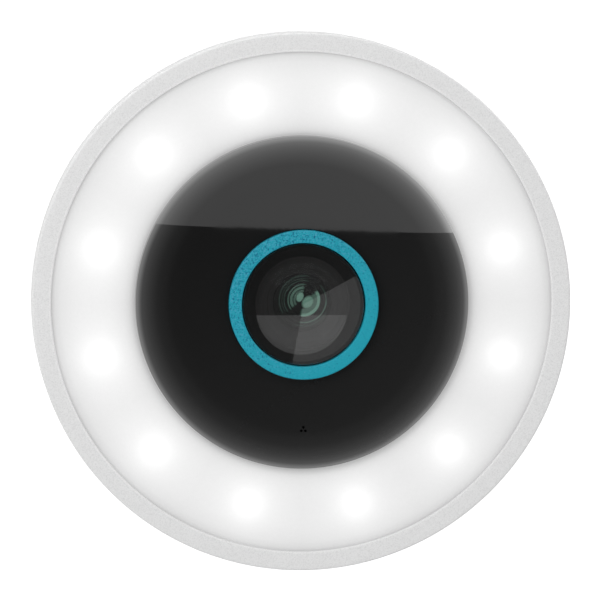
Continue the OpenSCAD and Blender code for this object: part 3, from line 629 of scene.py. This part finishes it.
BEZEL_PLASTIC = make_bezel_plastic()
POWDER_COAT = make_powder_coat()
MOULDED_WHITE = make_moulded_white()
TEAL = make_teal()
PIANO_BLACK = make_piano_black()
MATT_BLACK = make_matt_black()
ANODISED = make_anodised()
BARREL_BLACK = make_plain("barrel_black", (0.028, 0.027, 0.027, 1), roughness=0.8, scale=1500,
                          Specular_IOR_Level=0.05)
OPAL = make_opal()
WINDOW_GLASS = make_glass("window_glass", (0.80, 0.81, 0.81, 1), ior=1.8)
LENS_GLASS = make_glass("lens_glass", (0.97, 0.98, 0.975, 1), ior=1.15)
COATED_LENS = make_coated_lens()
RUBBER = make_rubber()
STEEL = make_steel()
NYLON = make_plain("grey_nylon", grey(96), roughness=0.5)
GREEN_BOARD = make_plain("green_board", (0.02, 0.14, 0.07, 1), roughness=0.35, scale=900, spread=0.25)
WHITE_BOARD = make_plain("white_board", grey(225), roughness=0.4, scale=900, spread=0.05)
TAN_BOARD = make_plain("tan_board", (0.42, 0.3, 0.14, 1), roughness=0.5, scale=700, spread=0.15)
PHOSPHOR = make_plain("phosphor", (0.9, 0.65, 0.1, 1), roughness=0.4, scale=900, spread=0.06)
REFLECTOR_WHITE = make_plain("reflector_white", grey(236), roughness=0.2, scale=900, spread=0.03)
THERMAL_GREY = make_plain("thermal_grey", grey(150), roughness=0.7, scale=800, spread=0.1)
DARK_PARTS = make_plain("dark_parts", grey(48), roughness=0.5, scale=900, spread=0.2)
GOLD = make_plain("gold_plate", (0.75, 0.52, 0.18, 1), roughness=0.3, scale=900, spread=0.1, Metallic=1.0)
IVORY = make_plain("ivory_acetal", (0.75, 0.72, 0.6, 1), roughness=0.4, scale=900, spread=0.05)
FILTER_GLASS = make_glass("filter_glass", (0.8, 0.3, 0.35, 1), ior=1.4)

SLOT_MATERIALS = {
    "white_casting": POWDER_COAT, "white_trim": MOULDED_WHITE, "black_gloss": PIANO_BLACK,
    "black_matt": MATT_BLACK, "black_anodised": ANODISED, "teal_trim": TEAL, "diffuser_white": OPAL,
    "clear_glass": LENS_GLASS, "filter_glass": FILTER_GLASS, "seal_rubber": RUBBER,
    "plated_steel": STEEL, "grey_nylon": NYLON, "pcb_green": GREEN_BOARD, "pcb_white": WHITE_BOARD,
    "pcb_tan": TAN_BOARD, "led_yellow": PHOSPHOR, "reflector_white": REFLECTOR_WHITE,
    "thermal_grey": THERMAL_GREY, "component_dark": DARK_PARTS, "gold_metal": GOLD,
    "washer_ivory": IVORY,
}


def dress_cad_nodes():
    """Every CAD node takes the material of its slot; the microphone shows its black dust mesh."""
    for part in frame["record"]["subparts"]:
        mesh = NODES[part["node"]].data
        mesh.materials.clear()
        mesh.materials.append(SLOT_MATERIALS[part["material_slot"]])
    NODES["microphone"].data.materials[0] = MATT_BLACK


# ------------------------------------------------------------------ front of the head

def stand_for(piece, slot_name, *nodes):
    """Shows the piece in place of CAD nodes, which it hides; slot_name is not used."""
    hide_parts(*nodes)
    return piece


def make_bezel():
    """A skirt round the head with a rounded front edge and a thin lip over the diffuser."""
    skirt_in = DIFFUSER_R + 0.2 * MM
    step = DIFFUSER_BACK + 1.85 * MM
    outline = rounded([
        (skirt_in, BEZEL_BACK, 0.3 * MM), (HEAD_R - 0.7 * MM, BEZEL_BACK, 0.3 * MM),
        (HEAD_R, BEZEL_BACK + 2.4 * MM, 1.2 * MM), (HEAD_R, BEZEL_FRONT, 0.8 * MM),
        (BEZEL_IN + 0.35 * MM, BEZEL_FRONT, 0.3 * MM), (BEZEL_IN, BEZEL_FRONT - 0.5 * MM, 0.2 * MM),
        (BEZEL_IN, step, 0.15 * MM), (skirt_in, step, 0.3 * MM)], n=8)
    ring = lathe("bezel_ring", outline, [BEZEL_PLASTIC], segments=FINE_SEGMENTS)
    return stand_for(ring, "white_trim", "front_bezel")


def make_diffuser():
    """A broad opal bead between the face and the bezel, hollow behind."""
    foot_in, foot_out = FACE_R - 2.2 * MM, DIFFUSER_R
    edge = DIFFUSER_BACK + 1.3 * MM
    middle = (FACE_R + BEZEL_IN) / 2
    half = (BEZEL_IN - FACE_R) / 2 - 0.1 * MM
    outline = [(foot_in, DIFFUSER_BACK), (foot_in, edge - 0.25 * MM), (FACE_R + 0.1 * MM, edge - 0.25 * MM)]
    outline += arc(middle, edge, -half, DIFFUSER_FRONT - edge, 0, 180, n=56)
    outline += [(foot_out, edge + 0.5 * MM), (foot_out, DIFFUSER_BACK)]
    outline += arc(middle, DIFFUSER_BACK, half - 2.2 * MM, 2.8 * MM, 0, 180, n=32)
    ring = lathe("diffuser_ring", outline, [OPAL], segments=FINE_SEGMENTS)
    return stand_for(ring, "diffuser_white", "diffuser")


def face_rows():
    """(radius, distance, tilt) from the end of the face's flat, over its roll, to its shoulder."""
    rows = []
    for k in range(ROLL_ROWS + 1):
        t = math.radians(90 - (90 - FACE_ROLL_END) * k / ROLL_ROWS)
        tilt = math.atan2(math.cos(t) / FACE_ROLL, math.sin(t) / FACE_RISE)
        rows.append((FACE_FLAT_R + FACE_ROLL * math.cos(t), FACE_SIDE_TOP + FACE_RISE * math.sin(t), tilt))
    r, d, tilt = rows[-1]
    step = (FACE_R - SHOULDER_INSET - r) / SHOULDER_ROWS
    for _ in range(SHOULDER_ROWS):
        tilt += math.radians(SHOULDER_TURN)
        r += step
        d -= step * math.tan(tilt)
        rows.append((r, d, tilt))
    return rows


def cut_holes(piece, places, radius, depth, front, segments=24):
    """Bores round holes along Y through a piece, at (x, z) places."""
    bm = bmesh.new()
    drill = [(0, front), (radius, front), (radius, front - depth), (0, front - depth)]
    for x, z in places:
        turn_outline(bm, drill, segments, x, z)
    mesh = bpy.data.meshes.new("cutter")
    bmesh.ops.recalc_face_normals(bm, faces=bm.faces)
    bm.to_mesh(mesh)
    bm.free()
    cutter = bpy.data.objects.new("cutter", mesh)
    bpy.context.scene.collection.objects.link(cutter)
    cut = piece.modifiers.new("holes", "BOOLEAN")
    cut.object = cutter
    cut.solver = "EXACT"
    graph = bpy.context.evaluated_depsgraph_get()
    bored = bpy.data.meshes.new_from_object(piece.evaluated_get(graph))
    piece.modifiers.clear()
    piece.data = bored
    bpy.data.objects.remove(cutter)


MIC_SPREAD = 0.75 * MM
MIC_RISE = 0.5 * MM
MIC_HOLE_R = 0.4 * MM
MIC_HOLE_DEPTH = 6 * MM
MIC_ANGLES = (90, 210, 330)


def microphone_places():
    """(x, z) of the three microphone holes."""
    low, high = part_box("microphone")
    middle = (low.z + high.z) / 2
    turns = [math.radians(angle) for angle in MIC_ANGLES]
    return [(MIC_SPREAD * math.cos(a), middle + MIC_RISE + MIC_SPREAD * math.sin(a)) for a in turns]


def make_face():
    """The black face: flat round the lens, then rolling over to the diffuser."""
    hole, lens_hole = TRIM_R + 0.15 * MM, WINDOW_R + 0.3 * MM
    seat = TRIM_BACK - 0.1 * MM
    chamfer, edge = 0.2 * MM, 0.15 * MM
    outline = [(FACE_R - FACE_WALL, FACE_EDGE), (FACE_R - chamfer, FACE_EDGE), (FACE_R, FACE_EDGE + chamfer)]
    outline += [(r, d) for r, d, _ in reversed(face_rows())]
    outline += [(FACE_FLAT_R - 0.05 * MM, FACE_FRONT), (hole + 0.2 * MM, FACE_FRONT)]
    outline += arc(hole + edge, FACE_FRONT - edge, edge, edge, 90, 180, n=6)
    outline += [(hole, seat), (lens_hole, seat), (lens_hole, seat - 1.7 * MM)]
    outline += [(TRIM_R + 3 * MM, seat - 1.1 * MM)]
    outline += arc(FACE_FLAT_R, FACE_SIDE_TOP, FACE_ROLL - FACE_WALL, FACE_RISE - 2.3 * MM, 90, 0, n=24)
    shell = lathe("face_shell", outline, [PIANO_BLACK], segments=FINE_SEGMENTS)
    cut_holes(shell, microphone_places(), MIC_HOLE_R, MIC_HOLE_DEPTH, FACE_FRONT + 1 * MM)
    return stand_for(shell, "black_gloss", "face_cover")


def make_trim():
    """The teal ring round the window, with both front edges rounded."""
    bore, rounding = WINDOW_R + 0.35 * MM, 0.45 * MM
    outline = rounded([(bore, TRIM_BACK, 0), (TRIM_R, TRIM_BACK, 0), (TRIM_R, TRIM_FRONT, rounding),
                       (bore, TRIM_FRONT, rounding)], n=6)
    ring = lathe("trim_ring", outline, [TEAL], segments=FINE_SEGMENTS)
    return stand_for(ring, "teal_trim", "lens_trim_ring")


def lets_light_in(piece):
    """Glass that casts no shadow, so that soft light reaches what is behind it."""
    piece.visible_shadow = False
    piece.visible_diffuse = False
    return piece


def make_window():
    """The flat window in front of the lens."""
    bevel = 0.25 * MM
    outline = [(0, WINDOW_BACK), (WINDOW_R - bevel, WINDOW_BACK), (WINDOW_R, WINDOW_BACK + bevel),
               (WINDOW_R, WINDOW_FRONT - bevel), (WINDOW_R - bevel, WINDOW_FRONT), (0, WINDOW_FRONT)]
    disc = lathe("window_disc", outline, [WINDOW_GLASS], sharp_angle=20)
    return lets_light_in(stand_for(disc, "clear_glass", "lens_window"))


def make_front_element():
    """A meniscus: a hollow behind, a straight rim and a domed front."""
    hollow_r, hollow_depth, rim = 11 * MM, 1.9 * MM, 1.2 * MM
    outline = arc(0, LENS_BACK, hollow_r, hollow_depth, 90, 0, n=16)
    outline += [(LENS_R, LENS_BACK)]
    outline += arc(0, LENS_BACK + rim, LENS_R, LENS_FRONT - LENS_BACK - rim, 0, 90, n=40)
    element = lathe("front_element", outline, [LENS_GLASS], sharp_angle=40)
    return lets_light_in(stand_for(element, "clear_glass", "lens_front_element"))


def make_barrel():
    """Front of the lens barrel: a plain dark funnel round the coated elements."""
    back, throat, pocket = BARREL_BACK + 5 * MM, MIDDLE_R + 0.15 * MM, LENS_R + 0.1 * MM
    outline = rounded([
        (throat, back, 0), (BARREL_R, back, 0.3 * MM), (BARREL_R, BARREL_FRONT, 0.3 * MM),
        (pocket, BARREL_FRONT, 0.1 * MM), (pocket, LENS_BACK - 0.1 * MM, 0),
        (12.4 * MM, LENS_BACK - 0.2 * MM, 0.2 * MM), (throat, MIDDLE_FRONT - 0.9 * MM, 0)], n=4)
    funnel = lathe("barrel_funnel", outline, [BARREL_BLACK], sharp_angle=40)
    return stand_for(funnel, "black_anodised", "lens_barrel")


RIDGE_COUNT = 5
RIDGE_PITCH = 0.95 * MM
RIDGE_HEIGHT = 0.12 * MM
RIDGE_STEP = 0.12 * MM
RIDGE_GROOVE = 0.08 * MM
RIDGE_INSET = 0.5 * MM
DOME_HEIGHT = 0.9 * MM


def make_middle_element():
    """The coated middle element: fine ridges stepping in to a low dome."""
    front = MIDDLE_FRONT - 1.0 * MM
    outline = [(0, MIDDLE_BACK), (MIDDLE_R, MIDDLE_BACK), (MIDDLE_R, front)]
    for k in range(RIDGE_COUNT):
        outer = MIDDLE_R - RIDGE_INSET - k * RIDGE_PITCH
        outline += arc(outer - RIDGE_PITCH / 2, front - RIDGE_STEP * k, RIDGE_PITCH / 2 - RIDGE_GROOVE,
                       RIDGE_HEIGHT, 0, 180, n=8)
    edge = MIDDLE_R - RIDGE_INSET - RIDGE_COUNT * RIDGE_PITCH - 0.1 * MM
    outline += arc(0, front - RIDGE_STEP * RIDGE_COUNT, edge, DOME_HEIGHT, 0, 90, n=24)
    element = lathe("middle_element", outline, [COATED_LENS], sharp_angle=50)
    return stand_for(element, "clear_glass", "lens_middle_element")


# ------------------------------------------------------------------ carried-over CAD parts

# Widths in mm of the rounded edges; in degrees, faces nearer than PLANE_ANGLE become one, and edges sharper
# than EDGE_ANGLE are rounded.
PLANE_ANGLE = 1.0
EDGE_ANGLE = 35
SOFT_EDGES = {
    "rear_housing": 0.5, "neck": 0.5, "arm": 0.6, "tilt_knob": 0.5, "pan_collar": 0.4, "base_cover": 0.6,
    "wall_base": 0.4, "wall_gasket": 0.2, "cable_gland": 0.3, "gland_nut": 0.3, "tilt_bolt": 0.2,
    "knob_washer": 0.1, "bezel_screws": 0.15, "vent_plug": 0.2, "pair_button": 0.2, "friction_discs": 0.1,
}


def soften_cad_nodes():
    """Rounds the hard edges of the CAD parts that show."""
    for name, width in SOFT_EDGES.items():
        piece = NODES[name]
        flat = piece.modifiers.new("planes", "DECIMATE")
        flat.decimate_type = "DISSOLVE"
        flat.angle_limit = math.radians(PLANE_ANGLE)
        bevel = piece.modifiers.new("edges", "BEVEL")
        bevel.width = width * MM
        bevel.segments = 3
        bevel.limit_method = "ANGLE"
        bevel.angle_limit = math.radians(EDGE_ANGLE)
        bevel.harden_normals = False
        bevel.use_clamp_overlap = True


# ------------------------------------------------------------------ stage, lights and camera

# The camera: degrees off the head's axis (negative is to the left) and above it, its distance in metres,
# and its sensor in mm.
CAMERA_TURN = -3.5
CAMERA_RISE = 4.5
CAMERA_DISTANCE = 2.6
HALF_FRAME = 94.6 * MM
AIM_SHIFT = (-0.38 * MM, 0.5 * MM)
AIM_DEPTH = 3 * MM
SENSOR = 36.0

FLOOR_DROP = 45 * MM
FLOOR_HALF_SIZE = 30.0
FLOOR_GLOW = 0.5
ROOM_LIGHT = 0.68
LIGHT_AIM = (0, -0.08, 0)
# (name, place, side in metres, power in watts)
LIGHTS = [("key", (-0.85, -1.1, 0.6), 1.2, 6.6), ("back_light", (1.4, 1.8, 1.2), 1.4, 8)]

# Reflection cards: their distances in metres, and the (angle from straight ahead, level) of their light.
DOME_REACH = 3.6
WALL_REACH = 3.4
LENS_CARD_REACH = 2.2
DARK_FRONT = [(0, 0.02), (20, 0.05), (30, 0.15), (42, 0.24), (61, 0.6), (90, 1.1), (120, 0.9), (180, 0.72)]
BRIGHT_WALL = [(0, 1.07), (30, 1.12), (42, 1.45), (61, 2.0), (80, 2.5), (87, 2.9), (92, 5.2), (105, 5.5),
               (180, 1.0)]

# The bright wall's edge as the face reflects it: its height above the axis and its slope. The wall's points
# are columns round the face by rows over its flat, over its roll and beyond its rim (degrees per row).
WALL_EDGE_HEIGHT = 23.6 * MM
WALL_EDGE_SLOPE = math.radians(-1.95)
WALL_COLUMNS = 64
FLAT_ROWS = 8
BEYOND_ROWS = 8
BEYOND_TURN = 2

# The wedge and the segment as the lens window reflects them: the segment's straight top lies SEGMENT_DROP
# below the axis, and its card hangs a little nearer than the wedge's.
WEDGE_APEX = (0.0, 0.2 * MM)
WEDGE_R = 21 * MM
WEDGE_ANGLES = (-101, 28.6)
WEDGE_GLOW = 0.235
SEGMENT_PLACE = (-0.65 * MM, -1.35 * MM)
SEGMENT_DROP = 3.3 * MM
SEGMENT_R = 14.4 * MM
SEGMENT_GLOW = 0.252
CARD_GAP = 0.02
FAN_STEPS = 48


def view_direction(turn, rise):
    """Unit vector from the head towards the camera."""
    a, e = math.radians(turn), math.radians(rise)
    return Vector((math.sin(a) * math.cos(e), -math.cos(a) * math.cos(e), math.sin(e)))


def make_camera():
    """The photo's own view."""
    data = bpy.data.cameras.new("camera")
    data.sensor_width = SENSOR
    data.lens = SENSOR / 2 * CAMERA_DISTANCE / HALF_FRAME
    camera = bpy.data.objects.new("camera", data)
    bpy.context.scene.collection.objects.link(camera)
    back = view_direction(CAMERA_TURN, CAMERA_RISE)
    target = Vector((AIM_SHIFT[0], -(BEZEL_FRONT - AIM_DEPTH), AIM_SHIFT[1]))
    camera.location = target + back * CAMERA_DISTANCE
    camera.rotation_mode = "QUATERNION"
    camera.rotation_quaternion = (-back).to_track_quat("-Z", "Y")
    bpy.context.scene.camera = camera
    return camera


def reflected(camera, point, normal, reach):
    """Where the camera's ray goes once a mirror at the point has turned it."""
    ray = (point - camera.location).normalized()
    return point + (ray - 2 * ray.dot(normal) * normal) * reach


def emitter(name, strength=1.0, additive=False, stops=None):
    """Plain light; stops give its level by the angle from straight ahead of the head."""
    material = bpy.data.materials.new(name)
    material.use_nodes = True
    material.node_tree.nodes.clear()
    out = node(material, "ShaderNodeOutputMaterial")
    glow = node(material, "ShaderNodeEmission", Strength=strength)
    if stops:
        x, y, z = separate(material)
        across = hypotenuse(material, x, z)
        angle = maths(material, "ARCTAN2", across, maths(material, "MULTIPLY", y, -1.0))
        top = max(level for _, level in stops)
        levels = ramp(material, maths(material, "DIVIDE", angle, math.pi),
                      [(degrees / 180, level_colour(level / top)) for degrees, level in stops])
        level = maths(material, "MULTIPLY", brightness(material, levels), top)
        link(material, level, glow.inputs["Strength"])
    shown = glow.outputs[0]
    if additive:
        both = node(material, "ShaderNodeAddShader")
        link(material, shown, both.inputs[0])
        link(material, node(material, "ShaderNodeBsdfTransparent").outputs[0], both.inputs[1])
        shown = both.outputs[0]
    link(material, shown, out.inputs[0])
    return material


def reflection_card(name, vertices, faces, material):
    """A stage piece that is seen only in reflections."""
    mesh = bpy.data.meshes.new(name)
    mesh.from_pydata(vertices, [], faces)
    mesh.materials.append(material)
    made = bpy.data.objects.new(name, mesh)
    bpy.context.scene.collection.objects.link(made)
    made.visible_camera = False
    made.visible_diffuse = False
    made.visible_shadow = False
    made.visible_volume_scatter = False


def make_dark_dome():
    """Round the head: dark straight ahead, as bright as the room at the sides."""
    bm = bmesh.new()
    bmesh.ops.create_uvsphere(bm, u_segments=48, v_segments=24, radius=DOME_REACH)
    bm.verts.ensure_lookup_table()
    vertices = [v.co.copy() for v in bm.verts]
    faces = [[v.index for v in face.verts] for face in bm.faces]
    bm.free()
    reflection_card("dark_dome", vertices, faces, emitter("dark_dome", stops=DARK_FRONT))


def make_bright_wall(camera):
    """The bright wall above a straight edge: shaped so that the face reflects its edge as one straight line,
    over the flat and over the rolled rim alike."""
    columns = WALL_COLUMNS
    nearest = WALL_EDGE_HEIGHT * math.cos(WALL_EDGE_SLOPE)
    flat = [nearest + (FACE_FLAT_R - nearest) * k / FLAT_ROWS for k in range(FLAT_ROWS)]
    rows = [(r, FACE_FRONT, 0.0) for r in flat] + face_rows()
    r, d, tilt = rows[-1]
    rows += [(r, d, tilt + math.radians(BEYOND_TURN * k)) for k in range(1, BEYOND_ROWS + 1)]
    vertices, faces = [], []
    for r, d, tilt in rows:
        start = math.asin(min(1.0, nearest / r))
        for k in range(columns + 1):
            a = WALL_EDGE_SLOPE + start + (math.pi - 2 * start) * k / columns
            point = Vector((r * math.cos(a), -d, r * math.sin(a)))
            normal = Vector((math.cos(a) * math.sin(tilt), -math.cos(tilt), math.sin(a) * math.sin(tilt)))
            vertices.append(reflected(camera, point, normal, WALL_REACH))
    for i in range(len(rows) - 1):
        for k in range(columns):
            j = i * (columns + 1) + k
            faces.append([j, j + 1, j + columns + 2, j + columns + 1])
    reflection_card("bright_wall", vertices, faces, emitter("bright_wall", stops=BRIGHT_WALL))


def seen_in_window(camera, x, z, reach):
    """The point that the lens window reflects at (x, z)."""
    return reflected(camera, Vector((x, -WINDOW_FRONT, z)), Vector((0, -1, 0)), reach)


def window_fan(camera, middle, radius, first, last, reach):
    """An arc round the middle (x, z), from the first angle to the last, as the lens window reflects it."""
    turns = [math.radians(first + (last - first) * k / FAN_STEPS) for k in range(FAN_STEPS + 1)]
    return [seen_in_window(camera, middle[0] + radius * math.cos(a), middle[1] + radius * math.sin(a), reach)
            for a in turns]


def lens_card(name, points, strength):
    """A flat card whose light adds to what is behind it."""
    reflection_card(name, points, [list(range(len(points)))], emitter(name, strength, additive=True))


def make_lens_cards(camera):
    """Cards that only the flat lens window reflects: a wedge, and a segment over the lens."""
    apex = seen_in_window(camera, *WEDGE_APEX, LENS_CARD_REACH)
    lens_card("wedge_card", [apex] + window_fan(camera, (0, 0), WEDGE_R, *WEDGE_ANGLES, LENS_CARD_REACH),
              WEDGE_GLOW)
    start = math.degrees(math.asin((SEGMENT_DROP + SEGMENT_PLACE[1]) / SEGMENT_R))
    lens_card("segment_card", window_fan(camera, SEGMENT_PLACE, SEGMENT_R, 180 + start, 360 - start,
                                         LENS_CARD_REACH - CARD_GAP), SEGMENT_GLOW)


def make_world():
    """White room: plain white to the camera, a little dimmer as a light."""
    world = bpy.data.worlds.new("room")
    bpy.context.scene.world = world
    world.use_nodes = True
    tree = world.node_tree
    background = tree.nodes["Background"]
    background.inputs["Color"].default_value = WHITE
    path = tree.nodes.new("ShaderNodeLightPath")
    level = tree.nodes.new("ShaderNodeMapRange")
    level.inputs["To Min"].default_value = ROOM_LIGHT
    level.inputs["To Max"].default_value = 1.0
    tree.links.new(path.outputs["Is Camera Ray"], level.inputs["Value"])
    tree.links.new(level.outputs["Result"], background.inputs["Strength"])


def make_floor():
    """A pale floor just below the head, wide enough to fill the picture."""
    size = FLOOR_HALF_SIZE
    height = cad_low.z - FLOOR_DROP
    corners = [(-size, -size, height), (size, -size, height), (size, size, height), (-size, size, height)]
    mesh = bpy.data.meshes.new("floor")
    mesh.from_pydata(corners, [], [(0, 1, 2, 3)])
    floor = bpy.data.objects.new("floor", mesh)
    bpy.context.scene.collection.objects.link(floor)
    material = new_material("pale_floor", grey(245), roughness=0.9, Specular_IOR_Level=0.0)
    to_camera = node(material, "ShaderNodeLightPath").outputs["Is Camera Ray"]
    give_glow(material, rescale(material, to_camera, 0, 1, 0.0, FLOOR_GLOW))
    mesh.materials.append(material)
    floor.visible_glossy = False
    floor.visible_transmission = False


def area_light(name, location, target, size, power):
    """A square lamp that is not seen itself, nor in reflections."""
    data = bpy.data.lights.new(name, "AREA")
    data.shape = "SQUARE"
    data.size = size
    data.energy = power
    light = bpy.data.objects.new(name, data)
    bpy.context.scene.collection.objects.link(light)
    light.location = location
    light.rotation_mode = "QUATERNION"
    light.rotation_quaternion = (Vector(target) - Vector(location)).to_track_quat("-Z", "Y")
    light.visible_camera = False
    light.visible_glossy = False
    light.visible_transmission = False


def make_lights():
    """The key light in front and the light behind."""
    for name, place, size, power in LIGHTS:
        area_light(name, place, LIGHT_AIM, size, power)


def make_stage():
    """Room, floor, lights, camera and the cards that only reflections show."""
    bpy.context.scene.view_settings.view_transform = "Standard"
    make_world()
    make_floor()
    make_lights()
    camera = make_camera()
    make_dark_dome()
    make_bright_wall(camera)
    make_lens_cards(camera)


make_stage()
dress_cad_nodes()
make_bezel()
make_diffuser()
make_face()
make_trim()
make_window()
make_front_element()
make_barrel()
make_middle_element()
soften_cad_nodes()
